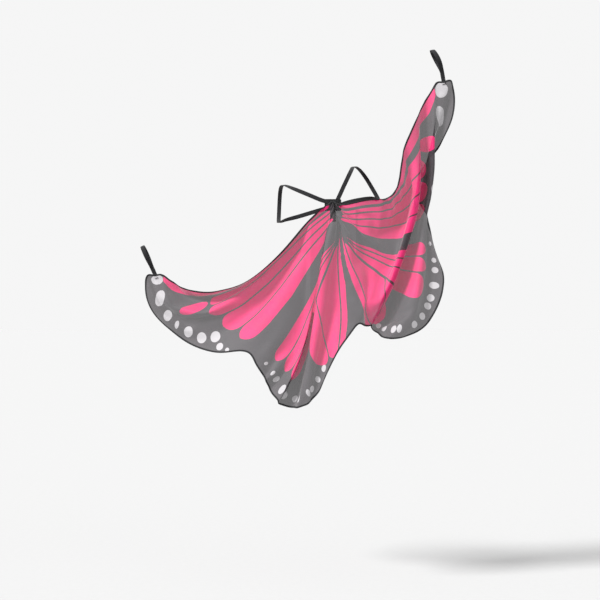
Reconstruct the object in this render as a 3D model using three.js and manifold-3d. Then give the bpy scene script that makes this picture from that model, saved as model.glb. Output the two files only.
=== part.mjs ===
// Dress-up butterfly wings: one sheer printed cloth gathered at the neck, with an overlocked edge,
// two elastic shoulder loops and an elastic loop at each wrist, shaped as they hang when worn with
// the left arm low and the right arm raised.
//
// Millimetres, +Z up. The origin is the middle of the neck tape's inner face, which rests on the
// wearer's upper back. The wearer faces +Y, so -Y is the outside of the wings, and the wearer's
// left hand is at -X.
import * as THREE from "three";
import { mergeVertices } from "three/addons/utils/BufferGeometryUtils.js";
import Module from "manifold-3d";

// ---------------------------------------------------------------- driving dimensions

const layerGap = 0.3; // between layers that lie on each other
const clothThickness = 1.2; // the sheer cloth with its small folds
const edge = { width: 4.4 }; // overlocked thread along the whole outline
const tape = { width: 40, height: 28, thickness: 1.0, corner: 4 };
const elastic = { width: 10, thickness: 1.2 };
const tack = { length: 9, width: 2.2, thickness: 0.6 };
const label = { width: 14, height: 26, thickness: 0.4 };
const gatherThread = { radius: 0.4, halfSpan: 13, upper: -2, lower: -9 };
const gather = { bunch: 5, spread: 18 }; // the pinched cloth at the neck
const wristTab = { height: 20, thickness: 1.2, overlap: 10 };

// Upright lines where the cloth leaves the back and follows an arm, and where each shoulder loop
// leaves the tape. The gap lets a piece turn without meeting the one beside it.
const wingHinge = { left: -150, right: 130, gap: 0.8, flat: 35 };
const strapHinge = { offset: 30, gap: 0.8 };
const wristHingeGap = 0.8;

// How far the cloth bulges over the back, and how far each wrist is held forward of it. The cloth
// is flat from tipFrom to the wrist; on the raised right wing it comes forward less, lower down.
const backBulge = { depth: 35, fullAt: 300 };
const reach = { left: 100, right: 45 };
const tipFrom = { left: -395, right: 235 };
const raisedWing = { lowest: -200, highest: 240, lowestShare: 0.2 };

// Front view of each half as [x, z]: the top edge from the neck to the wrist, and then the free
// margin from the wrist past the notch between the wings to the notch at the middle.
const leftTopEdge = [
  [0, 3], [-55, -24], [-91, -53], [-127, -94], [-168, -137], [-223, -176],
  [-271, -197], [-322, -209], [-382, -197], [-416, -168], [-436, -167],
];
const leftMargin = [
  [-436, -167], [-457, -167], [-463, -195], [-456, -240], [-430, -281], [-386, -318],
  [-335, -350], [-278, -364], [-218, -353], [-195, -385], [-178, -428], [-155, -465],
  [-125, -487], [-90, -488], [-60, -472], [-40, -436], [-6, -347], [58, -288],
];
const rightTopEdge = [
  [0, 3], [53, 6], [101, 11], [124, 13], [146, 32], [160, 54], [157, 82], [156, 115],
  [169, 151], [192, 199], [216, 247], [236, 284], [252, 303], [270, 304],
];
const rightMargin = [
  [270, 304], [290, 306], [299, 270], [293, 215], [270, 165], [247, 110], [235, 50],
  [227, 0], [223, -50], [240, -100], [254, -155], [256, -205], [240, -258], [200, -300],
  [155, -322], [118, -331], [88, -308], [58, -288],
];

// The shoulder loops' middle lines as [x, y, z, and the outward direction], with y from the plane
// in which they are sewn: over the shoulder, down its front, under the arm and back to the tape.
const leftShoulderPath = [
  [-10, 0, 7, 0, -1, 0], [-26, 0, 11, 0, -1, 0], [-60, 1, 25, 0, -1, 0.1],
  [-95, 10, 40, 0, -0.85, 0.5], [-116, 35, 50, -0.1, -0.3, 0.95], [-124, 65, 50, -0.1, 0.3, 0.95],
  [-128, 92, 36, 0, 0.8, 0.6], [-130, 102, 8, 0, 1, 0], [-131, 94, -20, 0, 0.8, -0.6],
  [-131, 70, -36, 0, 0.3, -0.95], [-128, 40, -40, 0, -0.2, -0.98], [-112, 14, -35, 0, -0.75, -0.66],
  [-80, 2, -27, 0, -1, -0.15], [-50, 0, -18, 0, -1, 0], [-26, 0, -11, 0, -1, 0],
  [-10, 0, -7, 0, -1, 0],
];
const rightShoulderPath = [
  [9, 0, 8, 0, -1, 0], [17, 0, 25, 0, -1, 0], [26, 0, 45, 0, -1, 0],
  [35, 0.2, 64, 0, -1, 0], [43, 9, 81, 0, -0.85, 0.5], [51, 38, 95, -0.1, -0.2, 1],
  [66, 75, 92, 0.1, 0.45, 0.9], [84, 95, 72, 0.2, 0.9, 0.4], [100, 98, 46, 0.3, 0.95, 0],
  [110, 84, 26, 0.4, 0.7, -0.6], [112, 58, 16, 0.5, 0.2, -0.85], [108, 30, 14, 0.4, -0.4, -0.8],
  [92, 8, 16, 0.1, -0.95, -0.3], [62, 2, 12, 0, -1, 0], [26, 0, 3, 0, -1, 0],
  [10, 0, -5, 0, -1, 0],
];

// Wrist loops in their own frame: z runs from the wing's tip to the wrist, y is depth. The two legs
// are sewn side by side up to the neck's height. The far side leans along x by lean, and turn is in
// degrees about the depth.
const wrist = { neck: 12, radius: 23, centre: 46, legSpread: 1.2, foot: 3, arcPoints: 6 };
const wristFrames = {
  left: { tip: leftTopEdge.at(-1), turn: -24, lean: 0 },
  right: { tip: rightTopEdge.at(-1), turn: -10, lean: -15 },
};

// ---------------------------------------------------------------- solids

const wasm = await Module();
wasm.setup();

function solidOf(geometry) {
  const bare = geometry.clone();
  bare.deleteAttribute("normal");
  bare.deleteAttribute("uv");
  const merged = mergeVertices(bare, 1e-4);
  return new wasm.Manifold(
    new wasm.Mesh({
      numProp: 3,
      vertProperties: new Float32Array(merged.attributes.position.array),
      triVerts: new Uint32Array(merged.index.array),
    }),
  );
}

function geometryOf(solid) {
  const mesh = solid.getMesh();
  const geometry = new THREE.BufferGeometry();
  geometry.setAttribute("position", new THREE.BufferAttribute(mesh.vertProperties, 3));
  geometry.setIndex(new THREE.BufferAttribute(mesh.triVerts, 1));
  geometry.computeVertexNormals();
  return geometry;
}

// Joins rings of the same number of points into one closed solid. Each end is closed by pairing the
// ring's first points with its last ones, so a ring can be a thin strip as well as a round section.
function loft(rings) {
  const count = rings[0].length;
  const positions = rings.flatMap((ring) => ring.flatMap((p) => [p.x, p.y, p.z]));
  const faces = [];
  const quad = (a, b, c, d) => faces.push(a, b, c, a, c, d);
  for (let r = 0; r + 1 < rings.length; r++) {
    for (let i = 0; i < count; i++) {
      const j = (i + 1) % count;
      quad(r * count + i, r * count + j, (r + 1) * count + j, (r + 1) * count + i);
    }
  }
  const last = (rings.length - 1) * count;
  for (let i = 0; i + 1 < count / 2; i++) {
    const a = i;
    const b = i + 1;
    const c = count - 2 - i;
    const d = count - 1 - i;
    quad(a, d, c, b);
    quad(last + a, last + b, last + c, last + d);
  }
  const geometry = new THREE.BufferGeometry();
  geometry.setAttribute("position", new THREE.Float32BufferAttribute(positions, 3));
  geometry.setIndex(faces);
  const solid = solidOf(geometry);
  return solid.volume() < 0 ? solidOf(insideOut(geometry)) : solid;
}

function insideOut(geometry) {
  const index = geometry.index.array;
  const turned = [];
  for (let i = 0; i < index.length; i += 3) turned.push(index[i], index[i + 2], index[i + 1]);
  return geometry.clone().setIndex(turned);
}

// The part of a solid between two upright planes at these values of x.
function between(solid, fromX, toX) {
  const far = 2000;
  const low = Math.max(fromX, -far);
  const high = Math.min(toX, far);
  const block = new THREE.BoxGeometry(high - low, far, far);
  block.translate((low + high) / 2, 0, 0);
  return solid.intersect(solidOf(block));
}

function curve(points) {
  return new THREE.CatmullRomCurve3(
    points.map(([x, z]) => new THREE.Vector3(x, 0, z)),
    false,
    "centripetal",
  );
}

// ---------------------------------------------------------------- the cloth

const bandPlane = -(tape.thickness + layerGap + elastic.thickness / 2);
const clothPlane = bandPlane - elastic.thickness / 2 - layerGap - clothThickness / 2;

// How far back or forward the cloth lies at a place in the front view. It is the same at every
// height on each hinge line, so that the cloth can turn there.
function clothDepth(x, z) {
  const { smoothstep, clamp, lerp } = THREE.MathUtils;
  const flatLeft = wingHinge.left - wingHinge.flat;
  const flatRight = wingHinge.right + wingHinge.flat;
  if (x < wingHinge.left) {
    return clothPlane + reach.left * smoothstep(-x, -flatLeft, -tipFrom.left);
  }
  if (x > wingHinge.right) {
    const { lowest, highest, lowestShare } = raisedWing;
    const height = clamp((z - lowest) / (highest - lowest), 0, 1);
    const forward = reach.right * lerp(lowestShare, 1, height);
    return clothPlane + forward * smoothstep(x, flatRight, tipFrom.right);
  }
  const middle = (wingHinge.left + wingHinge.right) / 2;
  const halfWidth = (wingHinge.right - wingHinge.left) / 2 - wingHinge.flat;
  const across = Math.min(Math.abs(x - middle) / halfWidth, 1);
  const down = smoothstep(-z, 0, backBulge.fullAt);
  return clothPlane - backBulge.depth * down * (1 - across ** 2) ** 2;
}

// How far the pinched folds at the neck stand out behind the cloth.
function foldsAt(x, z) {
  return gather.bunch * Math.exp(-(x * x + z * z) / gather.spread ** 2);
}

// The grid's lines along one axis: even ones over the whole cloth, and close ones at the neck.
function gridLines(from, to) {
  const cell = 28;
  const close = 5;
  const lines = [];
  for (let at = from; at <= to; at += cell) lines.push(at);
  const fine = [];
  for (let at = -2 * gather.spread; at <= 2 * gather.spread; at += close) fine.push(at);
  const apart = lines.filter((line) => Math.abs(line) > 2 * gather.spread + close);
  return [...apart, ...fine].sort((a, b) => a - b);
}

// A closed slab that follows the cloth's depth everywhere. extra is added to its outer side.
function clothSlab(extra) {
  const columns = gridLines(-500, 340);
  const rows = gridLines(-520, 348);
  const surface = (side, add) =>
    rows.flatMap((z) =>
      columns.flatMap((x) => [x, clothDepth(x, z) + (side * clothThickness) / 2 - add(x, z), z]),
    );
  const inner = surface(1, () => 0);
  const outer = surface(-1, extra);
  const width = columns.length;
  const count = inner.length / 3;
  const faces = [];
  const quad = (a, b, c, d) => faces.push(a, b, c, a, c, d);
  for (let r = 0; r + 1 < rows.length; r++) {
    for (let c = 0; c + 1 < width; c++) {
      const a = r * width + c;
      quad(a, a + width, a + width + 1, a + 1);
      quad(count + a, count + a + 1, count + a + width + 1, count + a + width);
    }
  }
  const lastRow = count - width;
  const rim = [
    ...columns.slice(1).map((_, c) => c),
    ...rows.slice(1).map((_, r) => r * width + width - 1),
    ...columns.slice(1).map((_, c) => lastRow + width - 1 - c),
    ...rows.slice(1).map((_, r) => lastRow - r * width),
  ];
  rim.forEach((a, i) => {
    const b = rim[(i + 1) % rim.length];
    quad(a, b, count + b, count + a);
  });
  const geometry = new THREE.BufferGeometry();
  geometry.setAttribute("position", new THREE.Float32BufferAttribute([...inner, ...outer], 3));
  geometry.setIndex(faces);
  return solidOf(geometry);
}

// The cloth's outline in the front view, round the right half from the neck and back up the left.
function outline() {
  const spacing = 12;
  const sample = (points) => {
    const line = curve(points);
    return line.getSpacedPoints(Math.round(line.getLength() / spacing));
  };
  return [
    ...sample(rightTopEdge).slice(1),
    ...sample(rightMargin).slice(1),
    ...sample(leftMargin).reverse().slice(1),
    ...sample(leftTopEdge).reverse().slice(1),
  ].map((p) => new THREE.Vector2(p.x, p.z));
}

// The outline moved outward by a distance, with mitred corners.
function outset(points, distance) {
  return points.map((point, i) => {
    const before = points.at(i - 1);
    const after = points[(i + 1) % points.length];
    const first = point.clone().sub(before).normalize();
    const second = after.clone().sub(point).normalize();
    const [a, b] = [new THREE.Vector2(-first.y, first.x), new THREE.Vector2(-second.y, second.x)];
    const outward = a.clone().add(b).normalize();
    return point.clone().addScaledVector(outward, distance / outward.dot(a));
  });
}

function prism(points) {
  const far = 300;
  const geometry = new THREE.ExtrudeGeometry(new THREE.Shape(points), {
    depth: 2 * far,
    bevelEnabled: false,
  });
  geometry.translate(0, 0, -far);
  geometry.rotateX(Math.PI / 2);
  return solidOf(geometry);
}

function clothSheet() {
  return prism(outline()).intersect(clothSlab(foldsAt));
}

// The overlocked edge lies all round the sheet, and stops where the neck is gathered.
function edgeThread() {
  const near = prism(outset(outline(), layerGap));
  const far = prism(outset(outline(), layerGap + edge.width));
  const neck = new THREE.BoxGeometry(2 * gather.spread, 100, 2 * gather.spread);
  return far.subtract(near).intersect(clothSlab(() => 0)).subtract(solidOf(neck));
}

// ---------------------------------------------------------------- elastic

// A flat band along a path of points with outward directions.
function band(path, steps, { width, thickness }) {
  const line = new THREE.CatmullRomCurve3(
    path.map(([x, y, z]) => new THREE.Vector3(x, y, z)),
    false,
    "centripetal",
  );
  const facing = new THREE.CatmullRomCurve3(path.map((p) => new THREE.Vector3(p[3], p[4], p[5])));
  const rings = [];
  for (let i = 0; i <= steps; i++) {
    const middle = line.getPoint(i / steps);
    const along = line.getTangent(i / steps);
    const across = along.clone().cross(facing.getPoint(i / steps)).normalize();
    const outward = across.clone().cross(along).normalize();
    const corner = (a, b) =>
      middle
        .clone()
        .addScaledVector(across, (a * width) / 2)
        .addScaledVector(outward, (b * thickness) / 2);
    rings.push([corner(-1, -1), corner(1, -1), corner(1, 1), corner(-1, 1)]);
  }
  return loft(rings);
}

// The loop at a wrist: a neck of doubled elastic that opens into a ring round the wrist.
function wristLoop(lean) {
  const { neck, radius, centre, legSpread, foot, arcPoints } = wrist;
  const top = centre + radius;
  const touch = Math.acos(radius / (centre - neck)); // where a leg meets the ring, from its bottom
  const near = [
    [0, legSpread, neck - foot, 0, 1, 0],
    [0, legSpread, neck, 0, 1, 0],
  ];
  for (let i = 0; i < arcPoints; i++) {
    const angle = THREE.MathUtils.lerp(touch, Math.PI, i / arcPoints);
    const [y, z] = [Math.sin(angle), -Math.cos(angle)];
    const height = centre + radius * z;
    const leaning = lean * ((height - neck) / (top - neck)) ** 1.5;
    near.push([leaning, radius * y, height, 0, y, z]);
  }
  const far = near.map(([x, y, z, nx, ny, nz]) => [x, -y, z, nx, -ny, nz]).reverse();
  const ring = band([...near, [lean, 0, top, 0, 0, 1], ...far], 44, elastic);

  const start = wristHingeGap / 2;
  const thin = wristTab.thickness / 2;
  const thick = legSpread + elastic.thickness / 2;
  const profile = new THREE.Shape([
    new THREE.Vector2(-thin, start),
    new THREE.Vector2(thin, start),
    new THREE.Vector2(thick, start + foot),
    new THREE.Vector2(thick, neck - foot / 2),
    new THREE.Vector2(-thick, neck - foot / 2),
    new THREE.Vector2(-thick, start + foot),
  ]);
  const sewn = new THREE.ExtrudeGeometry(profile, { depth: elastic.width, bevelEnabled: false });
  sewn.translate(0, 0, -elastic.width / 2);
  sewn.rotateX(Math.PI / 2);
  sewn.rotateZ(Math.PI / 2); // the profile stands in the yz plane, and its depth runs along x
  return ring.add(solidOf(sewn));
}

// ---------------------------------------------------------------- small sewn pieces

function roundedPlate(width, height, thickness, corner) {
  const w = width / 2;
  const h = height / 2;
  const shape = new THREE.Shape();
  shape.moveTo(-w + corner, -h);
  shape.lineTo(w - corner, -h);
  shape.absarc(w - corner, -h + corner, corner, -Math.PI / 2, 0);
  shape.absarc(w - corner, h - corner, corner, 0, Math.PI / 2);
  shape.absarc(-w + corner, h - corner, corner, Math.PI / 2, Math.PI);
  shape.absarc(-w + corner, -h + corner, corner, Math.PI, 1.5 * Math.PI);
  const plate = new THREE.ExtrudeGeometry(shape, {
    depth: thickness,
    bevelEnabled: false,
    curveSegments: 4,
  });
  plate.rotateX(Math.PI / 2); // it now spans y from -thickness to 0, and stands in the xz plane
  return plate;
}

function neckTape() {
  return roundedPlate(tape.width, tape.height, tape.thickness, tape.corner);
}

function careLabel() {
  const plate = roundedPlate(label.width, label.height, label.thickness, 1.5);
  plate.translate(0, -tape.thickness / 2, -(tape.height + label.height) / 2 - layerGap);
  return plate;
}

// A bar of stitches across a strap, just past the tape's side or top, on the wearer's side.
function strapTack(path, leaves) {
  const [from, to] = path;
  const along = new THREE.Vector3(to[0] - from[0], 0, to[2] - from[2]).normalize();
  const [run, rise] = [Math.abs(along.x), Math.abs(along.z)];
  const reachX = (rise * tack.length + run * tack.width) / 2;
  const reachZ = (run * tack.length + rise * tack.width) / 2;
  const past =
    leaves === "side"
      ? (tape.width / 2 + layerGap + reachX - Math.abs(from[0])) / run
      : (tape.height / 2 + layerGap + reachZ - from[2]) / rise;
  const plate = roundedPlate(tack.width, tack.length, tack.thickness, 0.8);
  plate.rotateY(Math.atan2(-along.z, along.x));
  const y = bandPlane + elastic.thickness / 2 + layerGap + tack.thickness;
  plate.translate(from[0] + along.x * past, y, from[2] + along.z * past);
  return plate;
}

// A row of gathering stitches across the outside of the pinched cloth.
function gatherStitch(height) {
  const sides = 6;
  const steps = 14;
  const rings = [];
  for (let i = 0; i <= steps; i++) {
    const x = gatherThread.halfSpan * ((2 * i) / steps - 1);
    const outside = clothPlane - clothThickness / 2 - foldsAt(x, height);
    const y = outside - layerGap - gatherThread.radius;
    rings.push(
      Array.from({ length: sides }, (_, k) => {
        const angle = (2 * Math.PI * k) / sides;
        const across = gatherThread.radius * Math.cos(angle);
        return new THREE.Vector3(x, y + across, height + gatherThread.radius * Math.sin(angle));
      }),
    );
  }
  return loft(rings);
}

// ---------------------------------------------------------------- assembly

const colours = { print: 0xf0336f, black: 0x17181a, thread: 0x0d0e10, white: 0xf2f0ee };
const finishes = {
  cloth: new THREE.MeshStandardMaterial({ color: colours.print, roughness: 0.7, metalness: 0 }),
  elastic: new THREE.MeshStandardMaterial({ color: colours.black, roughness: 0.85, metalness: 0 }),
  thread: new THREE.MeshStandardMaterial({ color: colours.thread, roughness: 0.6, metalness: 0 }),
  label: new THREE.MeshStandardMaterial({ color: colours.white, roughness: 0.5, metalness: 0 }),
};

const wings = new THREE.Group();

function piece(name, shape, finish, parent = wings) {
  const geometry = shape.isBufferGeometry ? shape : geometryOf(shape);
  const mesh = new THREE.Mesh(geometry, finishes[finish]);
  mesh.name = name;
  parent.add(mesh);
  return mesh;
}

function addCloth() {
  const sheet = clothSheet();
  const { left, right, gap } = wingHinge;
  piece("cloth_left_wing", between(sheet, -Infinity, left - gap / 2), "cloth");
  piece("cloth_back", between(sheet, left + gap / 2, right - gap / 2), "cloth");
  piece("cloth_right_wing", between(sheet, right + gap / 2, Infinity), "cloth");
}

function addEdge() {
  const whole = edgeThread();
  const { left, right, gap } = wingHinge;
  piece("edge_left_wing", between(whole, -Infinity, left - gap / 2), "thread");
  piece("edge_right_wing", between(whole, right + gap / 2, Infinity), "thread");
  const parts = between(whole, left + gap / 2, right - gap / 2).decompose();
  const centreX = (solid) => (solid.boundingBox().min[0] + solid.boundingBox().max[0]) / 2;
  const heightOf = (solid) => solid.boundingBox().max[2];
  const low = parts.reduce((a, b) => (heightOf(a) < heightOf(b) ? a : b));
  const tops = parts.filter((part) => part !== low).sort((a, b) => centreX(a) - centreX(b));
  piece("edge_hindwings", low, "thread");
  piece("edge_top_left", tops[0], "thread");
  piece("edge_top_right", tops.at(-1), "thread");
}

function addShoulderLoop(side, path, leaves) {
  const sign = side === "left" ? -1 : 1;
  const sewn = path.map(([x, y, z, ...outward]) => [x, y + bandPlane, z, ...outward]);
  const whole = band(sewn, 60, elastic);
  const line = sign * strapHinge.offset;
  const outer = line + (sign * strapHinge.gap) / 2;
  const inner = line - (sign * strapHinge.gap) / 2;
  const cut = sign < 0 ? [-Infinity, outer] : [outer, Infinity];
  piece(`shoulder_loop_${side}`, between(whole, ...cut), "elastic");
  const kept = sign < 0 ? [inner, Infinity] : [-Infinity, inner];
  const ends = between(whole, ...kept).decompose();
  const heightOf = (solid) => solid.boundingBox().max[2];
  ends.sort((a, b) => heightOf(b) - heightOf(a));
  piece(`strap_end_${side}_over`, ends[0], "elastic");
  piece(`strap_end_${side}_under`, ends[1], "elastic");
  piece(`tack_${side}_over`, strapTack(path, leaves), "thread");
  piece(`tack_${side}_under`, strapTack([...path].reverse(), "side"), "thread");
}

function addWristLoop(side) {
  const { tip, turn, lean } = wristFrames[side];
  const [x, z] = tip;
  const behind = clothDepth(x, z) + clothThickness / 2 + layerGap + wristTab.thickness / 2;
  const frame = new THREE.Group();
  frame.rotation.y = THREE.MathUtils.degToRad(turn);
  const lift = wristTab.height - wristTab.overlap;
  const hinge = new THREE.Vector3(0, 0, lift).applyEuler(frame.rotation);
  frame.position.set(x + hinge.x, behind, z + hinge.z);
  wings.add(frame);
  piece(`wrist_loop_${side}`, wristLoop(lean), "elastic", frame);
  const tab = roundedPlate(elastic.width, wristTab.height, wristTab.thickness, 1);
  const drop = -wristTab.height / 2 - wristHingeGap / 2;
  tab.translate(0, wristTab.thickness / 2, drop);
  piece(`wrist_tab_${side}`, tab, "elastic", frame);
  const bar = roundedPlate(elastic.width - 1.5, tack.width, tack.thickness, 0.8);
  const outside = -wristTab.thickness / 2 - 2 * layerGap - clothThickness;
  bar.translate(0, outside, -wristTab.height + 2);
  piece(`tack_wrist_${side}`, bar, "thread", frame);
}

addCloth();
addEdge();
piece("neck_tape", neckTape(), "elastic");
piece("care_label", careLabel(), "label");
piece("gather_stitch_upper", gatherStitch(gatherThread.upper), "thread");
piece("gather_stitch_lower", gatherStitch(gatherThread.lower), "thread");
addShoulderLoop("left", leftShoulderPath, "side");
addShoulderLoop("right", rightShoulderPath, "top");
addWristLoop("left");
addWristLoop("right");

export default wings;
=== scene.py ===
import math

import bpy
import numpy as np
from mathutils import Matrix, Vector
from mathutils.geometry import delaunay_2d_cdt


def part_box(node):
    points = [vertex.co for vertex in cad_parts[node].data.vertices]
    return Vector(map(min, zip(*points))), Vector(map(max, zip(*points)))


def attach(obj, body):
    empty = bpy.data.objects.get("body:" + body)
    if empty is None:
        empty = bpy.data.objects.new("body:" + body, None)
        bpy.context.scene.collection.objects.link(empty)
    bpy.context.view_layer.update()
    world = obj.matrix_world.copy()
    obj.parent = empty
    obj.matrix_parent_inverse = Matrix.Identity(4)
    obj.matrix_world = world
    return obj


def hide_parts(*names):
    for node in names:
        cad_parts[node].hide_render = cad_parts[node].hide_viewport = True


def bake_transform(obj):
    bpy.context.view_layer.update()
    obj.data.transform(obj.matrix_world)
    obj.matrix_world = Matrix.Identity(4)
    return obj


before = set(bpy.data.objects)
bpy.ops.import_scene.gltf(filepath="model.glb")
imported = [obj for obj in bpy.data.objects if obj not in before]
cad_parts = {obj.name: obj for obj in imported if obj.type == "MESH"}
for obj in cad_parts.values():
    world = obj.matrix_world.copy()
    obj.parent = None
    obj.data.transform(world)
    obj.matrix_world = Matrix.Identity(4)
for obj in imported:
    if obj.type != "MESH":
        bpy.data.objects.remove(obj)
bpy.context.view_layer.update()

MM = 0.001

# ------------------------------------------------------------ the flat pattern, in millimetres
# One half as it lies flat: u runs out from the middle of the neck and v runs up. The other half
# is its mirror image.

TOP_EDGE = [(0, 0), (120, -8), (260, -5), (400, 12), (510, 35), (541, 44), (556, 38)]
MARGIN = [
    (556, 38), (573, 38), (580, 5), (572, -42), (545, -90), (500, -130), (450, -165), (400, -192),
    (350, -210), (352, -265), (338, -325), (305, -385), (255, -430), (195, -452), (140, -440),
    (90, -400), (45, -350), (0, -300),
]
CUT_WIDTH, CUT_HEIGHT, CUT_LOWEST = 600, 530, -475  # a rectangle round one half, for its UV map
SPACING = 9.0  # between the corners of the mesh that is draped
TIP = (556, 38)

# Where places on the flat sheet hang when it is worn: (u, v, x, z, tuck), with u below zero on the
# wearer's left. tuck is how far that place is folded under, towards the wearer.
HUNG_LEFT = [
    (-60, -4, -16, 0, 0), (-120, -8, -72, -50, 0), (-190, -8, -128, -118, 0),
    (-260, -5, -200, -180, 0), (-330, 1, -262, -200, 0), (-400, 12, -322, -208, 0),
    (-470, 26, -378, -192, 0), (-520, 40, -412, -168, 0), (-541, 44, -424, -164, 0),
    (-556, 38, -436, -168, 0), (-573, 38, -455, -165, 0), (-580, 5, -462, -190, 0),
    (-572, -42, -454, -232, 0), (-545, -90, -432, -270, 0), (-500, -130, -390, -308, 0),
    (-450, -165, -340, -340, 0), (-400, -192, -280, -360, 0), (-350, -210, -205, -355, 0),
    (-352, -265, -178, -385, 0), (-338, -325, -160, -425, 0), (-305, -385, -138, -468, 0),
    (-255, -430, -112, -483, 0), (-195, -452, -76, -482, 0), (-140, -440, -42, -458, 0),
    (-90, -400, -18, -410, 0), (-45, -350, 18, -336, 0),
]
HUNG_MIDDLE = [(0, 0, 0, 3, 0), (0, -150, 24, -140, 0), (0, -300, 64, -287, 0)]
HUNG_RIGHT = [
    (60, -4, 16, 1, 0), (120, -8, 78, 12, 0), (190, -7, 128, 16, 0), (260, -5, 160, 60, 0),
    (310, -2, 163, 112, 0), (400, 12, 190, 186, 0), (470, 26, 218, 243, 0), (520, 40, 241, 283, 0),
    (541, 44, 252, 302, 0), (556, 38, 268, 302, 0), (573, 38, 290, 308, 0),
    (580, 5, 299, 270, 0), (572, -42, 292, 210, 0), (545, -90, 268, 162, 0),
    (500, -130, 230, 108, 50), (450, -165, 206, 60, 66), (400, -192, 205, 10, 56),
    (420, -112, 251, 96, 18), (378, -158, 238, 4, 14), (350, -210, 231, -26, 6),
    (352, -265, 240, -84, 0), (338, -325, 262, -150, 0), (305, -385, 265, -205, 0),
    (255, -430, 240, -268, 0), (195, -452, 190, -308, 0), (140, -440, 138, -324, 0),
    (90, -400, 108, -306, 0), (45, -350, 84, -290, 0),
]
HUNG_PLACES = np.array(HUNG_LEFT + HUNG_MIDDLE + HUNG_RIGHT, float)

PLACES_SLACK, OUTLINE_SLACK = 400, 4000  # how loosely the two thin plates follow their places

# How firmly each part of the sheet is drawn to where it hangs, from 0 to 1.
HOLD_INNER, HOLD_MARGIN, HOLD_TOP, TOP_BAND = 0.06, 0.35, 0.5, 14
TIP_HELD, NECK_HELD = 22, 30
LIFTED_BY, SETTLED_BY = 24, 60  # the frames when the sheet is up, and when it has settled
IRONING = 2  # passes that even out the smallest creases
DRAPE_QUALITY, CLOTH_MASS, STRETCH, BENDING = 7, 0.12, 15, 0.4
DAMPING, BENDING_DAMPING, AIR_DAMPING = 8, 0.5, 1

# The cloth's depth in the front view, in millimetres: the plane it lies in, how far an arm carries
# each side forward, and the hollow of the wearer's back.
CLOTH_PLANE, LEFT_HINGE, RIGHT_HINGE, HINGE_FLAT = -3.4, -150, 130, 35
LOW_ARM_REACH, LOW_ARM_END, HIGH_ARM_REACH, HIGH_ARM_END = 100, 395, 45, 235
HIGH_ARM_LEAST, HIGH_ARM_FROM, HIGH_ARM_TO = 0.2, -200, 240  # its share below, and the two heights
BACK_HOLLOW, HOLLOW_MIDDLE, HOLLOW_HALF, HOLLOW_END = 35, -10, 105, 300

# Soft folds run out from the neck: their number in a full turn, and their height.
FOLD_COUNT, FOLD_HEIGHT, PLEAT_COUNT, PLEAT_HEIGHT = 13, 7, 31, 4
NECK_PLEATS, NECK_PLEAT_DEPTH = 27, 3.4
STRAP_CLEARANCE, CLEAR_HALF_WIDTH, CLEAR_BELOW = 3.1, 55, -260  # cloth stays outside the straps

# ------------------------------------------------------------ the print, on the flat pattern
# Each cell lies between two veins, which run out from the body in the middle, and ends at its
# reach from the body's middle. Neighbours go in different layers, so a thin vein stays sharp.

VEIN = 1.8  # half a vein's width
NECK_CLEAR = 52  # round the neck there are no cells
HEM_OVERRUN = 12  # how far the top cell runs on under the hem
FORE_BODY, HIND_BODY = (0, -60), (0, -80)
HEM_LINE = [(10, -3), (120, -11), (260, -8), (400, 9), (510, 32), (541, 41)]
FORE_VEINS = {
    "hem_strip": [(16, -14), (150, -25), (260, -24), (400, -14), (480, -1), (530, 20)],
    "second_top": [(16, -16), (150, -29), (260, -31), (340, -29), (420, -26)],
    "second": [(16, -22), (160, -45), (250, -55), (340, -60), (420, -58)],
    "third": [(16, -30), (150, -63), (240, -83), (330, -97), (420, -106)],
    "fourth": [(16, -38), (140, -83), (220, -113), (300, -136), (400, -158)],
    "lowest": [(14, -46), (120, -104), (200, -148), (280, -178), (360, -200), (420, -210)],
}
HIND_VEINS = {
    "top": [(40, -106), (128, -150), (190, -184), (250, -218), (330, -262)],
    "first": [(38, -112), (130, -168), (225, -238), (330, -314)],
    "second": [(34, -116), (127, -188), (205, -264), (300, -354)],
    "third": [(26, -118), (108, -212), (150, -276), (200, -346), (250, -420)],
    "wedge": [(26, -118), (106, -210), (143, -274), (143, -322), (132, -400)],
    "inner": [(25, -120), (104, -212), (98, -270), (86, -330), (72, -400)],
    "beside_body": [(12, -114), (30, -215), (46, -320), (54, -380)],
    "body": [(4, -116), (8, -195), (20, -270), (29, -320), (34, -352)],
}
CELLS = [  # layer, veins, upper vein, lower vein, body's middle, reach, roundness of the end
    ("a", FORE_VEINS, "hem", "hem_strip", FORE_BODY, 536, 12),
    ("b", FORE_VEINS, "second_top", "second", FORE_BODY, 392, 16),
    ("a", FORE_VEINS, "second", "third", FORE_BODY, 396, 28),
    ("b", FORE_VEINS, "third", "fourth", FORE_BODY, 384, 36),
    ("a", FORE_VEINS, "fourth", "lowest", FORE_BODY, 368, 36),
    ("b", HIND_VEINS, "top", "first", HIND_BODY, 362, 34),
    ("a", HIND_VEINS, "first", "second", HIND_BODY, 374, 46),
    ("b", HIND_VEINS, "second", "third", HIND_BODY, 376, 40),
    ("a", HIND_VEINS, "wedge", "inner", HIND_BODY, 308, 24),
    ("c", HIND_VEINS, "inner", "beside_body", HIND_BODY, 294, 12),
    ("a", HIND_VEINS, "beside_body", "body", HIND_BODY, 420, 2),
]
LEAF = (434, -54, 38, 17, -22)  # a lone cell near the tip: u, v, half length, half width, tilt
TIP_SPOT = (545, 25, 15, 17, 0)  # u, v, half width, half length, tilt
SPOT_TILT = 111  # of the forewing's spots, in degrees; the hindwing's point straight in
FORE_SPOTS = [  # distance along the margin from the tip, inset, half width, half length
    (101, 44, 15, 26), (173, 34, 12, 18), (211, 28, 5.5, 13), (246, 28, 11, 15), (282, 28, 10.5, 14),
    (313, 40, 10.5, 14), (331, 17, 7, 10), (349, 8, 3.5, 6),
]
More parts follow.
